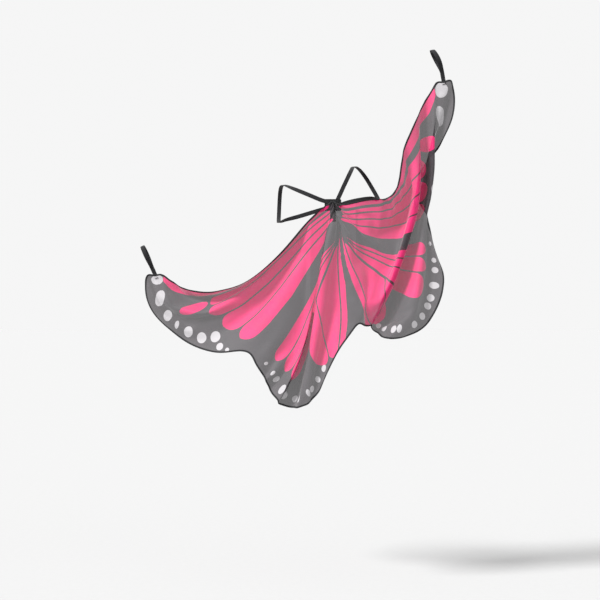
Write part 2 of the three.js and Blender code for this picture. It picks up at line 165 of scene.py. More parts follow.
HIND_SPOTS = [
    (75, 22, 5, 5), (118, 24, 6, 7), (147, 25, 8, 9), (193, 26, 9, 13), (230, 26, 9, 10),
    (255, 25, 8, 10), (289, 24, 9, 9), (326, 25, 8, 10), (379, 26, 6, 10), (398, 25, 8, 9),
    (435, 24, 7, 9), (467, 22, 8, 8),
]
MARGIN_TO_NOTCH = 368  # along the margin, from the tip to the notch between the two wings
PRINT_LAYERS = ("a", "b", "c", "spots")

# ------------------------------------------------------------ straps and small sewn pieces

ELASTIC_WIDTH, ELASTIC_THICK, ELASTIC_RIBS, ELASTIC_SPACING = 10, 1.2, 5, 1.2
HEM_WIDTH, HEM_THICK, HEM_STITCH = 4.4, 1.2, 2.4
TACK_THREAD, TAB_THREAD, RUNNING_THREAD, BORDER_THREAD, LABEL_THREAD = 0.3, 0.25, 0.34, 0.24, 0.2  # radii
THREAD_SIDES, HEM_SIDES = 6, 8
TACK_TURNS, TACK_LENGTH, LABEL_STITCH_HALF = 13, 9.0, 5.6
SMOOTH_UNDER = math.radians(40)  # edges that turn less are shaded smooth
BAND_PLANE = -1.9  # where the shoulder loops are sewn to the tape, as y

# The shoulder loops' middle lines as (x, y, z, and the outward direction), with y from the plane
# in which they are sewn: over the shoulder, down its front, under the arm and back to the tape.
LEFT_SHOULDER = [
    (-10, 0, 7, 0, -1, 0), (-26, 0, 11, 0, -1, 0), (-60, 1, 25, 0, -1, 0.1),
    (-95, 10, 40, 0, -0.85, 0.5), (-116, 35, 50, -0.1, -0.3, 0.95), (-124, 65, 50, -0.1, 0.3, 0.95),
    (-128, 92, 36, 0, 0.8, 0.6), (-130, 102, 8, 0, 1, 0), (-131, 94, -20, 0, 0.8, -0.6),
    (-131, 70, -36, 0, 0.3, -0.95), (-128, 40, -40, 0, -0.2, -0.98), (-112, 14, -35, 0, -0.75, -0.66),
    (-80, 2, -27, 0, -1, -0.15), (-50, 0, -18, 0, -1, 0), (-26, 0, -11, 0, -1, 0),
    (-10, 0, -7, 0, -1, 0),
]
RIGHT_SHOULDER = [
    (9, 0, 8, 0, -1, 0), (17, 0, 25, 0, -1, 0), (26, 0, 45, 0, -1, 0),
    (35, 0.2, 64, 0, -1, 0), (43, 9, 81, 0, -0.85, 0.5), (51, 38, 95, -0.1, -0.2, 1),
    (66, 75, 92, 0.1, 0.45, 0.9), (84, 95, 72, 0.2, 0.9, 0.4), (100, 98, 46, 0.3, 0.95, 0),
    (110, 84, 26, 0.4, 0.7, -0.6), (112, 58, 16, 0.5, 0.2, -0.85), (108, 30, 14, 0.4, -0.4, -0.8),
    (92, 8, 16, 0.1, -0.95, -0.3), (62, 2, 12, 0, -1, 0), (26, 0, 3, 0, -1, 0),
    (10, 0, -5, 0, -1, 0),
]

# A wrist loop stands on its tab: two legs sewn side by side, and a ring for the wrist.
WRIST_NECK, WRIST_RADIUS, WRIST_CENTRE, LEG_SPREAD = 12, 23, 46, 1.2
TAB_HEIGHT, TAB_OVERLAP = 20, 10
LEG_ROUTE = [(0.45, -0.6), (0.6, 1.2), (1, 4), (1, 7)]  # share of the spread, height
LEG_STITCH_HEIGHTS, LEG_STITCH_HALF = (5.2, 8.6), 3.8
WRISTS = {
    "left": {"tip": (-436, -167), "turn": -24, "lean": 0},
    "right": {"tip": (270, 304), "turn": -10, "lean": -15},
}


# ------------------------------------------------------------ shapes in numbers


def smoothstep(value, low, high):
    t = np.clip((value - low) / (high - low), 0, 1)
    return t * t * (3 - 2 * t)


def smooth_min(a, b, width):
    """The lesser of two distances, rounded off where they meet."""
    h = np.clip(1 - np.abs(a - b) / width, 0, 1)
    return np.minimum(a, b) - h * h * width / 4


def unit(vectors):
    return vectors / np.maximum(np.linalg.norm(vectors, axis=-1, keepdims=True), 1e-12)


def arc_lengths(points):
    return np.concatenate([[0], np.cumsum(np.linalg.norm(np.diff(points, axis=0), axis=1))])


def smooth_line(points, spacing):
    """A line through the points, even in length, with about this spacing."""
    pts = np.array(points, float)
    ends = np.vstack([2 * pts[0] - pts[1], pts, 2 * pts[-1] - pts[-2]])
    place = slice(0, min(3, pts.shape[1]))
    dense = []
    for a, b, c, d in zip(ends, ends[1:], ends[2:], ends[3:]):
        chords = [np.linalg.norm((q - p)[place]) for p, q in ((a, b), (b, c), (c, d))]
        t1, t2, t3 = np.cumsum(np.sqrt(np.maximum(chords, 1e-9)))
        for t in np.linspace(t1, t2, 24, endpoint=False):
            p1 = a + (b - a) * t / t1
            p2 = b + (c - b) * (t - t1) / (t2 - t1)
            p3 = c + (d - c) * (t - t2) / (t3 - t2)
            q1 = p1 + (p2 - p1) * t / t2
            q2 = p2 + (p3 - p2) * (t - t1) / (t3 - t1)
            dense.append(q1 + (q2 - q1) * (t - t1) / (t2 - t1))
    dense = np.array(dense + [pts[-1]])
    return evenly(dense, arc_lengths(dense[:, place]), spacing)


def evenly(line, along, spacing):
    """The same line with its points at an even spacing."""
    even = np.linspace(0, along[-1], max(2, round(along[-1] / spacing)) + 1)
    return np.column_stack([np.interp(even, along, line[:, k]) for k in range(line.shape[1])])


def inside(points, outline):
    """Which points lie inside a closed outline."""
    x, y = points[:, 0], points[:, 1]
    found = np.zeros(len(points), bool)
    for (x1, y1), (x2, y2) in zip(outline, np.roll(outline, -1, axis=0)):
        crosses = (y1 > y) != (y2 > y)
        with np.errstate(divide="ignore", invalid="ignore"):
            found ^= crosses & (x < (x2 - x1) * (y - y1) / (y2 - y1) + x1)
    return found


def above(line, places):
    """How far each place lies above a line that runs outwards; below it the distance is negative."""
    pts = np.array(line, float)
    pts = np.vstack([pts[0] - (pts[1] - pts[0]) * 3, pts, pts[-1] + (pts[-1] - pts[-2]) * 5])
    nearest = np.full(len(places), np.inf)
    side = np.zeros(len(places))
    for a, b in zip(pts, pts[1:]):
        along = b - a
        t = np.clip((places - a) @ along / (along @ along), 0, 1)
        away = places - (a + t[:, None] * along)
        distance = np.hypot(away[:, 0], away[:, 1])
        turn = along[0] * away[:, 1] - along[1] * away[:, 0]
        closer = distance < nearest - 1e-9
        nearest = np.where(closer, distance, nearest)
        side = np.where(closer, np.sign(turn), side)
    return nearest * side


# ------------------------------------------------------------ the cloth


def half_pattern():
    """Corners and triangles of one half laid flat, on an even triangular grid."""
    top = smooth_line(TOP_EDGE, SPACING)
    margin = smooth_line(MARGIN, SPACING)
    steps = round(-MARGIN[-1][1] / SPACING)
    middle = np.column_stack([np.zeros(steps - 1), np.linspace(MARGIN[-1][1], 0, steps + 1)[1:-1]])
    outline = np.vstack([top, margin[1:], middle])
    rows = np.arange(CUT_LOWEST, 60, SPACING * math.sqrt(3) / 2)
    columns = np.arange(0, CUT_WIDTH, SPACING)
    grid = np.array([(u + (i % 2) * SPACING / 2, v) for i, v in enumerate(rows) for u in columns])
    grid = grid[inside(grid, outline)]
    near = np.min(np.linalg.norm(grid[:, None] - outline[None], axis=2), axis=1)
    points = np.vstack([outline, grid[near > 0.6 * SPACING]])
    ring = [(i, (i + 1) % len(outline)) for i in range(len(outline))]
    corners, _, faces, *_ = delaunay_2d_cdt([Vector(p) for p in points], ring, [], 1, 1e-5)
    return np.array([tuple(p) for p in corners]), np.array([tuple(f) for f in faces])


def whole_pattern():
    """Both halves laid flat, sharing the corners along the middle."""
    corners, faces = half_pattern()
    shared = np.abs(corners[:, 0]) < 1e-6
    other = np.where(shared, np.arange(len(corners)), 0)
    other[~shared] = len(corners) + np.arange((~shared).sum())
    mirrored = corners[~shared] * (-1, 1)
    return np.vstack([corners, mirrored]), np.vstack([faces, other[faces][:, ::-1]])


def bent_plate(known, wanted, places, slack):
    """Values at places, from a thin plate bent to the wanted values at the known places."""
    bend = lambda d2: 0.5 * d2 * np.log(np.maximum(d2, 1e-9))
    apart = lambda a, b: ((a[:, None] - b[None]) ** 2).sum(2)
    n = len(known)
    flat = np.column_stack([np.ones(n), known])
    system = np.zeros((n + 3, n + 3))
    system[:n, :n] = bend(apart(known, known)) + slack * np.eye(n)
    system[:n, n:] = flat
    system[n:, :n] = flat.T
    weights = np.linalg.solve(system, np.vstack([wanted, np.zeros((3, wanted.shape[1]))]))
    level = np.column_stack([np.ones(len(places)), places]) @ weights[n:]
    return bend(apart(places, known)) @ weights[:n] + level


def worn(settled, flat):
    """Draws the settled sheet's outline to where it hangs when worn, and keeps its folds."""
    known, wanted = HUNG_PLACES[:, :2], HUNG_PLACES[:, 2:4]
    nearest = [int(np.argmin(np.hypot(*(flat - place).T))) for place in known]
    off = wanted - settled[nearest][:, [0, 2]] / MM
    shift = bent_plate(known, off, flat, OUTLINE_SLACK)
    return settled + np.column_stack([shift[:, 0], np.zeros(len(flat)), shift[:, 1]]) * MM


def mesh_edges(faces):
    """Every edge of these faces once, and those that belong to one face only."""
    sides = faces.shape[1]
    pairs = np.sort(np.vstack([faces[:, [k, (k + 1) % sides]] for k in range(sides)]), axis=1)
    edges, counts = np.unique(pairs, axis=0, return_counts=True)
    return edges, edges[counts == 1]


def ironed(points, faces, flat):
    """Evens out the smallest creases. The free edge is evened along itself, and what is held stays."""
    edges, free = mesh_edges(faces)
    at_edge = np.zeros(len(points), bool)
    at_edge[free.ravel()] = True
    links = np.vstack([free, edges[~at_edge[edges].all(1)]])
    both_ways = np.vstack([links, links[:, ::-1]])
    counted = ~(at_edge[both_ways[:, 0]] & ~at_edge[both_ways[:, 1]])
    ends, starts = both_ways[counted].T
    share = np.where(hold_weights(flat) < 1, 0.5, 0)[:, None]
    linked = np.bincount(ends, minlength=len(points))[:, None]
    for _ in range(IRONING):
        total = np.zeros_like(points)
        np.add.at(total, ends, points[starts])
        points = points + share * (total / np.maximum(linked, 1) - points)
    return points


def hanging_depth(x, z):
    """How far forward the cloth lies at a place in the front view, in millimetres."""
    low_arm = LOW_ARM_REACH * smoothstep(-x, HINGE_FLAT - LEFT_HINGE, LOW_ARM_END)
    height = np.clip((z - HIGH_ARM_FROM) / (HIGH_ARM_TO - HIGH_ARM_FROM), 0, 1)
    lifted = HIGH_ARM_LEAST + (1 - HIGH_ARM_LEAST) * height
    high_arm = HIGH_ARM_REACH * lifted * smoothstep(x, RIGHT_HINGE + HINGE_FLAT, HIGH_ARM_END)
    across = np.clip(np.abs(x - HOLLOW_MIDDLE) / HOLLOW_HALF, 0, 1)
    hollow = -BACK_HOLLOW * smoothstep(-z, 0, HOLLOW_END) * (1 - across ** 2) ** 2
    return CLOTH_PLANE + low_arm + high_arm + hollow


def hung_places(flat):
    """Where each flat place is drawn to as the sheet is lifted, with the first soft folds in it."""
    x, z, tuck = bent_plate(HUNG_PLACES[:, :2], HUNG_PLACES[:, 2:], flat, PLACES_SLACK).T
    y = hanging_depth(x, z) + tuck
    around = np.arctan2(flat[:, 0], -flat[:, 1] + 30)
    out = np.hypot(flat[:, 0], flat[:, 1])
    folds = np.sin(around * FOLD_COUNT) * FOLD_HEIGHT
    folds = folds * smoothstep(out, 20, 160) * smoothstep(-out, -520, -380)
    pleats = np.sin(around * PLEAT_COUNT) * PLEAT_HEIGHT
    pleats = pleats * smoothstep(out, 0, 25) * smoothstep(-out, -150, -40)
    return np.column_stack([x, y + folds + pleats, z])


def new_mesh(name, points, faces):
    mesh = bpy.data.meshes.new(name)
    mesh.from_pydata([tuple(p) for p in points], [], [tuple(int(i) for i in f) for f in faces])
    mesh.update()
    piece = bpy.data.objects.new(name, mesh)
    bpy.context.scene.collection.objects.link(piece)
    return piece


def only(piece):
    bpy.ops.object.select_all(action="DESELECT")
    piece.select_set(True)
    bpy.context.view_layer.objects.active = piece


def mesh_points(mesh):
    points = np.zeros(len(mesh.vertices) * 3)
    mesh.vertices.foreach_get("co", points)
    return points.reshape(-1, 3)


def hold_weights(flat):
    """How firmly each corner of the sheet is held, most of all at the neck and the two tips."""
    u, v = np.abs(flat[:, 0]), flat[:, 1]
    outline = np.vstack([smooth_line(TOP_EDGE, SPACING), smooth_line(MARGIN, SPACING)])
    to_edge = np.min(np.hypot(u[:, None] - outline[:, 0], v[:, None] - outline[:, 1]), axis=1)
    held = np.full(len(flat), HOLD_INNER)
    held[to_edge < 1] = HOLD_MARGIN
    held[np.interp(u, *zip(*TOP_EDGE[:6])) - v < TOP_BAND] = HOLD_TOP
    held[np.hypot(u - TIP[0], v - TIP[1]) < TIP_HELD] = 1
    held[np.hypot(u / 1.6, v) < NECK_HELD] = 1
    return held


def drape(flat, faces):
    """Lifts the sheet, cut to its flat size, by the neck and the wrists, and lets it settle."""
    laid = np.column_stack([flat[:, 0], np.zeros(len(flat)), flat[:, 1]])
    sheet = new_mesh("draping", laid * MM, faces)
    sheet.shape_key_add(name="Basis")
    hung = sheet.shape_key_add(name="hung")
    hung.data.foreach_set("co", (hung_places(flat) * MM).ravel())
    for value, when in ((0, 1), (1, LIFTED_BY)):
        hung.value = value
        hung.keyframe_insert("value", frame=when)
    group = sheet.vertex_groups.new(name="held")
    held = hold_weights(flat)
    for weight in np.unique(held):
        group.add([int(i) for i in np.nonzero(held == weight)[0]], float(weight), "REPLACE")
    only(sheet)
    cloth = sheet.modifiers.new("drape", "CLOTH")
    fabric = cloth.settings
    fabric.quality = DRAPE_QUALITY
    fabric.mass = CLOTH_MASS
    fabric.tension_stiffness = fabric.compression_stiffness = STRETCH
    fabric.shear_stiffness = STRETCH / 2
    fabric.bending_stiffness = BENDING
    fabric.tension_damping = fabric.compression_damping = fabric.shear_damping = DAMPING
    fabric.bending_damping = BENDING_DAMPING
    fabric.air_damping = AIR_DAMPING
    fabric.vertex_group_mass = "held"
    fabric.pin_stiffness = 1
    cloth.collision_settings.use_collision = False
    cloth.collision_settings.use_self_collision = False
    cloth.point_cache.frame_start = 1
    cloth.point_cache.frame_end = SETTLED_BY
    for when in range(1, SETTLED_BY + 1):
        bpy.context.scene.frame_set(when)
    shown = sheet.evaluated_get(bpy.context.evaluated_depsgraph_get())
    settled = mesh_points(shown.to_mesh())
    shown.to_mesh_clear()
    bpy.context.scene.frame_set(1)
    bpy.data.objects.remove(sheet)
    return settled


def fine_sheet():
    """The draped sheet with a fine smooth mesh: its corners in metres, its faces and flat places."""
    flat, faces = whole_pattern()
    sheet = new_mesh("fine_sheet", worn(ironed(drape(flat, faces), faces, flat), flat), faces)
    cut = sheet.data.attributes.new("cut", "FLOAT_VECTOR", "POINT")
    cut.data.foreach_set("vector", np.column_stack([flat, np.zeros(len(flat))]).ravel())
    only(sheet)
    finer = sheet.modifiers.new("finer", "SUBSURF")
    finer.levels = finer.render_levels = 2
    bpy.ops.object.modifier_apply(modifier="finer")
    mesh = sheet.data
    places = np.zeros(len(mesh.vertices) * 3)
    mesh.attributes["cut"].data.foreach_get("vector", places)
    places = places.reshape(-1, 3)[:, :2]
    quads = np.zeros(len(mesh.loops), int)
    mesh.loops.foreach_get("vertex_index", quads)
    points = gathered(mesh_points(mesh), places)
    bpy.data.objects.remove(sheet)
    return points, quads.reshape(-1, 4), places


def gathered(points, places):
    """Adds the small pleats below the neck, and keeps the cloth outside the straps and the back."""
    x, y, z = points.T / MM
    around = np.arctan2(places[:, 0], -places[:, 1] + 26)
    out = np.hypot(places[:, 0], places[:, 1] * 1.2)
    depth = NECK_PLEAT_DEPTH * smoothstep(out, 4, 26) * (1 - smoothstep(out, 60, 190))
    uneven = 0.9 * np.sin(around * 7)
    ripple = np.sin(around * NECK_PLEATS + uneven) + 0.4 * np.sin(around * 45 + 1)
    y = y + depth * (0.5 * ripple - 0.6)
    farthest = 0.8 * np.maximum(np.abs(x) - CLEAR_HALF_WIDTH, 0) - STRAP_CLEARANCE
    y = np.where(z > CLEAR_BELOW, smooth_min(y, farthest, 2.0), y)
    return np.column_stack([x, y, z]) * MM


def margin_frame():
    """The margin of one half at a fine spacing, with its lengths and inward directions."""
    line = smooth_line(MARGIN, 2)
    along = unit(np.gradient(line, axis=0))
    return line, arc_lengths(line), np.column_stack([along[:, 1], -along[:, 0]])


def ellipse(places, centre, half_width, half_length, tilt):
    """How far inside an ellipse each place is; its long axis is tilted from the u axis, in degrees."""
    turn = math.radians(tilt)
    off = places - np.array(centre)
    along = off[:, 0] * math.cos(turn) + off[:, 1] * math.sin(turn)
    across = off[:, 1] * math.cos(turn) - off[:, 0] * math.sin(turn)
    return (1 - np.hypot(along / half_length, across / half_width)) * min(half_width, half_length)


def spot_fields(places):
    line, lengths, inward = margin_frame()
    rows = [(s, inset, a, b, SPOT_TILT) for s, inset, a, b in FORE_SPOTS]
    rows += [(MARGIN_TO_NOTCH + s, inset, a, b, None) for s, inset, a, b in HIND_SPOTS]
    u, v, width, length, tilt = TIP_SPOT
    found = ellipse(places, (u, v), width, length, tilt)
    for s, inset, half_width, half_length, tilt in rows:
        i = np.searchsorted(lengths, s)
        if tilt is None:
            tilt = math.degrees(math.atan2(inward[i, 1], inward[i, 0]))
        centre = line[i] + inward[i] * inset
        found = np.maximum(found, ellipse(places, centre, half_width, half_length, tilt))
    return found


def print_fields(places):
    """How far inside its nearest cell or spot each place is, in millimetres, layer by layer."""
    half = np.abs(places) * (1, 0) + places * (0, 1)
    fields = {layer: np.full(len(places), -40.0) for layer in PRINT_LAYERS}
    for layer, veins, upper, lower, body, reach, roundness in CELLS:
        top = HEM_LINE if upper == "hem" else veins[upper]
        gap = -HEM_OVERRUN if upper == "hem" else VEIN
        sides = np.minimum(-above(top, half) - gap, above(veins[lower], half) - VEIN)
        out = np.hypot(half[:, 0] - body[0], half[:, 1] - body[1])
        cell = smooth_min(sides, reach - out, roundness)
        cell = smooth_min(cell, np.hypot(half[:, 0], half[:, 1]) - NECK_CLEAR, 8)
        fields[layer] = np.maximum(fields[layer], cell)
    u, v, half_length, half_width, tilt = LEAF
    fields["b"] = np.maximum(fields["b"], ellipse(half, (u, v), half_width, half_length, tilt))
    fields["spots"] = spot_fields(half)
    return fields


def set_values(mesh, name, values):
    made = mesh.attributes.new(name, "FLOAT", "POINT")
    made.data.foreach_set("value", np.asarray(values, np.float32))


def corner_normals(points, quads):
    """The whole sheet's smooth normals, so that its two halves shade as one cloth."""
    a, b = points[quads[:, 2]] - points[quads[:, 0]], points[quads[:, 3]] - points[quads[:, 1]]
    faces = np.cross(a, b)
    total = np.zeros_like(points)
    for k in range(4):
        np.add.at(total, quads[:, k], faces)
    return unit(total)


def sheet_half(name, side, points, quads, places, finish):
    """One half of the sheet, cut along the middle. side is -1 for the wearer's left."""
    mine = (places[quads][:, :, 0].mean(1) * side) > 0
    used, faces = np.unique(quads[mine], return_inverse=True)
    faces = faces.reshape(-1, 4)
    piece = new_mesh(name, points[used], faces)
    mesh = piece.data
    flat = places[used]
    on_sheet = np.column_stack([np.abs(flat[:, 0]) / CUT_WIDTH, (flat[:, 1] - CUT_LOWEST) / CUT_HEIGHT])
    mesh.uv_layers.new(name="OFBake").data.foreach_set("uv", on_sheet[faces.ravel()].ravel())
    for layer, values in print_fields(flat).items():
        set_values(mesh, "print_" + layer, values)
    mesh.shade_smooth()
    mesh.normals_split_custom_set_from_vertices(corner_normals(points, quads)[used].tolist())
    mesh.materials.append(finish)
    return piece, points[used], faces, flat


# ------------------------------------------------------------ strips, straps and threads


def sweep(centres, across, outward, section):
    """A closed skin along a line. section holds each ring's corners, across and outward."""
    rings, corners = section.shape[:2]
    points = centres[:, None] + across[:, None] * section[..., :1] + outward[:, None] * section[..., 1:]
    i, k = np.meshgrid(np.arange(rings - 1), np.arange(corners), indexing="ij")
    following = (k + 1) % corners
    start = i * corners
    sides = np.stack([start + k, start + following, start + corners + following, start + corners + k], -1)
    first = list(range(corners))[::-1]
    last = [(rings - 1) * corners + j for j in range(corners)]
    return points.reshape(-1, 3), sides.reshape(-1, 4).tolist() + [first, last]


def joined(shells):
    """Several closed skins in one list of corners and faces."""
    points, faces, count = [], [], 0
    for corners, sides in shells:
        points.append(corners)
        faces += [[int(i) + count for i in side] for side in sides]
        count += len(corners)
    return np.vstack(points), faces


def skin_piece(name, shells, finish, body):
    points, faces = joined(shells)
    piece = new_mesh(name, points * MM, faces)
    piece.data.materials.append(finish)
    only(piece)
    bpy.ops.object.mode_set(mode="EDIT")
    bpy.ops.mesh.select_all(action="SELECT")
    bpy.ops.mesh.normals_make_consistent(inside=False)
    bpy.ops.object.mode_set(mode="OBJECT")
    bpy.ops.object.shade_smooth_by_angle(angle=SMOOTH_UNDER)
    if body:
        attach(piece, body)
    return piece


def edge_path(points, faces, flat):
    """The sheet half's free edge from the neck round to the middle notch, with inward directions."""
    free = mesh_edges(faces)[1]
    free = free[(np.abs(flat[free][:, :, 0]) > 1e-3).any(1)]
    beside = {}
    for a, b in free:
        beside.setdefault(int(a), []).append(int(b))
        beside.setdefault(int(b), []).append(int(a))
    ends = [v for v, linked in beside.items() if len(linked) == 1]
    path = [max(ends, key=lambda v: flat[v, 1])]
    while len(path) < 2 or len(beside[path[-1]]) > 1:
        ahead = [v for v in beside[path[-1]] if len(path) < 2 or v != path[-2]]
        path.append(ahead[0])
    total = np.zeros_like(points)
    count = np.zeros(len(points))
    centres = points[faces].mean(1)
    for k in range(4):
        np.add.at(total, faces[:, k], centres)
        np.add.at(count, faces[:, k], 1)
    line = points[path]
    return line, unit(total[path] / count[path][:, None] - line)


def softened(values, reach):
    """Each row averaged with its neighbours along a line, with the ends kept."""
    window = np.hanning(2 * reach + 3)[1:-1]
    window /= window.sum()
    padded = np.vstack([values[:1]] * reach + [values] + [values[-1:]] * reach)
    return np.column_stack([np.convolve(padded[:, k], window, "valid") for k in range(values.shape[1])])


def hem_shell(points, faces, flat):
    """Overlocked thread wrapped over the free edge: a flat roll with a slanting stitch all along."""
    line, inward = edge_path(points / MM, faces, flat)
    spacing = HEM_STITCH / 4
    both = evenly(np.hstack([line, inward]), arc_lengths(line), spacing)
    centres = softened(both[:, :3], 3)
    along = unit(np.gradient(centres, axis=0))
    inward = softened(both[:, 3:], 9)
    inward = unit(inward - along * (inward * along).sum(1, keepdims=True))
    outward = np.cross(along, inward)
    angle = 2 * np.pi * np.arange(HEM_SIDES) / HEM_SIDES
    distance = spacing * np.arange(len(centres))[:, None]
    stitch = 1 + 0.2 * np.sin(2 * np.pi * distance / HEM_STITCH + angle)
    section = np.stack([
        HEM_WIDTH / 2 * np.cos(angle) * (0.9 + 0.1 * stitch),
        HEM_THICK / 2 * np.sin(angle) * stitch,
    ], -1)
    return sweep(centres + inward * (HEM_WIDTH / 2 - 0.6), inward, outward, section)


def strap_section(rings):
    """A strap's rings: flat faces with fine lengthwise ribs and rounded sides."""
    across = np.linspace(-1, 1, 4 * ELASTIC_RIBS + 1)
    ribs = 0.8 + 0.2 * np.cos(across * ELASTIC_RIBS * np.pi) ** 2
    rounded = np.sqrt(np.clip(1 - np.abs(across) ** 8, 0.05, 1))
    face = np.column_stack([across * ELASTIC_WIDTH / 2, ELASTIC_THICK / 2 * ribs * rounded])
    ring = np.vstack([face, (face * (1, -1))[::-1]])
    return np.repeat(ring[None], rings, axis=0)


def strap_shell(route, plane):
    """A flat strap along a route of places and outward directions."""
    line = smooth_line(route, ELASTIC_SPACING)
    centres = line[:, :3] + (0, plane, 0)
    along = unit(np.gradient(centres, axis=0))
    outward = softened(line[:, 3:], 4)
    outward = unit(outward - along * (outward * along).sum(1, keepdims=True))
    section = strap_section(len(centres))
    section = section * (1 + 0.012 * np.sin(np.arange(len(centres)) * 1.9))[:, None, None]
    return sweep(centres, np.cross(along, outward), outward, section)


def thread_shell(places, radius):
    """A sewing thread through these places."""
    centres = smooth_line(places, radius * 2)
    along = unit(np.gradient(centres, axis=0))
    across = unit(np.cross(along, (0.13, 0.97, 0.21)))
    angle = 2 * np.pi * np.arange(THREAD_SIDES) / THREAD_SIDES
    ring = radius * np.column_stack([np.cos(angle), np.sin(angle)])
    return sweep(centres, across, np.cross(across, along), np.repeat(ring[None], len(centres), 0))


def zigzag_row(half_width, turns, rise, placed):
    """A row of zigzag turns across the front view. placed puts each turn where the row lies."""
    across = np.linspace(-half_width, half_width, turns)
    return [placed(x, rise * (-1) ** k) for k, x in enumerate(across)]


def bar_tack(name, node, along, body, finish):
    """A bar of close zigzag stitches over a strap, where the tack lies. along is its long way."""
    low, high = (np.array(corner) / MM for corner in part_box(node))
    centre = (low + high) / 2
    along = unit(np.array(along, float))
    across = np.cross(along, (0, 1, 0))
    size = high - low
    length = min(size[0] / max(abs(along[0]), 1e-6), size[2] / max(abs(along[2]), 1e-6), TACK_LENGTH) - 0.8
    zigzag = [
        centre + along * length * (k / TACK_TURNS - 0.5) + across * 0.9 * (1 if k % 2 else -1)
        for k in range(TACK_TURNS + 1)
    ]
    piece = skin_piece(name, [thread_shell(zigzag, TACK_THREAD)], finish, body)
    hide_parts(node)


def wrist_route(lean):
    """The wrist loop in its own frame: up one leg, round the wrist and down the other leg."""
    top = WRIST_CENTRE + WRIST_RADIUS
    touch = math.acos(WRIST_RADIUS / (WRIST_CENTRE - WRIST_NECK))
    near = [(0, LEG_SPREAD, 3, 0, 1, 0), (0, LEG_SPREAD, WRIST_NECK, 0, 1, 0)]
    for angle in np.linspace(touch, np.pi, 10)[:-1]:
        y, z = math.sin(angle), -math.cos(angle)
        height = WRIST_CENTRE + WRIST_RADIUS * z
        share = (height - WRIST_NECK) / (top - WRIST_NECK)
        near.append((lean * share ** 1.5, WRIST_RADIUS * y, height, 0, y, z))
    far = [(x, -y, z, nx, -ny, nz) for x, y, z, nx, ny, nz in near][::-1]
    return near + [(lean, 0, top, 0, 0, 1)] + far


def wrist_place(side, x, height):
    """Where a place in the wrist loop's own frame lies, as x and z in the front view."""
    tip_x, tip_z = WRISTS[side]["tip"]
    turn = math.radians(WRISTS[side]["turn"])
    up = height + (TAB_HEIGHT - TAB_OVERLAP)
    return (
        tip_x + x * math.cos(turn) + up * math.sin(turn),
        tip_z - x * math.sin(turn) + up * math.cos(turn),
    )


def placed_at_wrist(shell, side):
    """Carries a shell from the wrist loop's own frame to its place."""
    low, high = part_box("wrist_tab_" + side)
    depth = (low.y + high.y) / 2 / MM
    (x, y, z), faces = shell[0].T, shell[1]
    across, up = wrist_place(side, x, z)
    return np.column_stack([across, y + depth, up]), faces


# ------------------------------------------------------------ finishes


class Value:
    """One socket of a finish, so that its maths is written as an expression."""

    def __init__(self, finish, socket):
        self.finish = finish
        self.socket = socket

    def maths(self, operation, *others, first=None):
        values = ([first] if first is not None else []) + [self] + list(others)
        return self.finish.node("ShaderNodeMath", {"operation": operation}, dict(enumerate(values)))

    def __add__(self, other):
        return self.maths("ADD", other)

    def __sub__(self, other):
        return self.maths("SUBTRACT", other)

    def __mul__(self, other):
        return self.maths("MULTIPLY", other)

    def __rsub__(self, other):
        return self.maths("SUBTRACT", first=other)

    __radd__ = __add__
    __rmul__ = __mul__

    def greatest(self, other):
        return self.maths("MAXIMUM", other)

    def sine(self):
        return self.maths("SINE")

    def clamped(self):
        return self.greatest(0.0).maths("MINIMUM", 1.0)


class Finish:
    """A finish for one kind of surface, made node by node."""

    def __init__(self, name):
        self.material = bpy.data.materials.new(name)
        self.material.use_nodes = True
        self.tree = self.material.node_tree
        self.tree.nodes.clear()

    def node(self, kind, settings=None, inputs=None, output=0):
        made = self.tree.nodes.new(kind)
        for key, value in (settings or {}).items():
            setattr(made, key, value)
        for key, value in (inputs or {}).items():
            if isinstance(value, Value):
                self.tree.links.new(value.socket, made.inputs[key])
            else:
                made.inputs[key].default_value = value
        return Value(self, made.outputs[output]) if made.outputs else None

    def attribute(self, name):
        return self.node("ShaderNodeAttribute", {"attribute_name": name}, output="Fac")

    def place(self):
        return self.node("ShaderNodeTexCoord", output="Object")

    def place_mm(self):
        return self.node("ShaderNodeMapping", inputs={
            "Vector": self.place(), "Scale": (1 / MM, 1 / MM, 1 / MM),
        })

    def axes(self, vector):
        split = self.node("ShaderNodeSeparateXYZ", inputs={0: vector}).socket.node
        return [Value(self, socket) for socket in split.outputs]

    def noise(self, vector, scale, detail=2.0, rough=0.5):
        sizes = {"Vector": vector, "Scale": scale, "Detail": detail, "Roughness": rough}
        return self.node("ShaderNodeTexNoise", inputs=sizes)

    def mix(self, share, first, second):
        colours = {0: share, 6: first, 7: second}
        return self.node("ShaderNodeMix", {"data_type": "RGBA"}, colours, output=2)

    def bump(self, height, strength, distance):
        return self.node("ShaderNodeBump", inputs={
            "Strength": strength, "Distance": distance, "Height": height,
        })

    def surface(self, **sockets):
        shader = self.node("ShaderNodeBsdfPrincipled", inputs={
            key.replace("_", " "): value for key, value in sockets.items()
        })
        self.node("ShaderNodeOutputMaterial", inputs={"Surface": shader})
        return self.material


def colour(red, green, blue):
    return (red, green, blue, 1.0)


DYE_BLACK = colour(0.016, 0.012, 0.016)
DYE_BLACK_THIN = colour(0.030, 0.022, 0.028)
DYE_PINK = colour(0.58, 0.006, 0.125)
DYE_PINK_DEEP = colour(0.50, 0.003, 0.088)
DYE_WHITE = colour(0.38, 0.365, 0.38)
BLACK_YARN = colour(0.005, 0.005, 0.006)
# A paler black for worn and fuzzy yarn, and also the painted highlight on the elastic's knit and on the
# overlock's proud strands.
BLACK_YARN_PALE = colour(0.016, 0.016, 0.018)
LABEL_WHITE = colour(0.78, 0.77, 0.74)
LABEL_SHADE = colour(0.62, 0.61, 0.58)

YARN = 0.9  # the voile's yarn spacing, in millimetres
DYE_EDGE = 2.4  # how sharply a printed edge turns, per millimetre


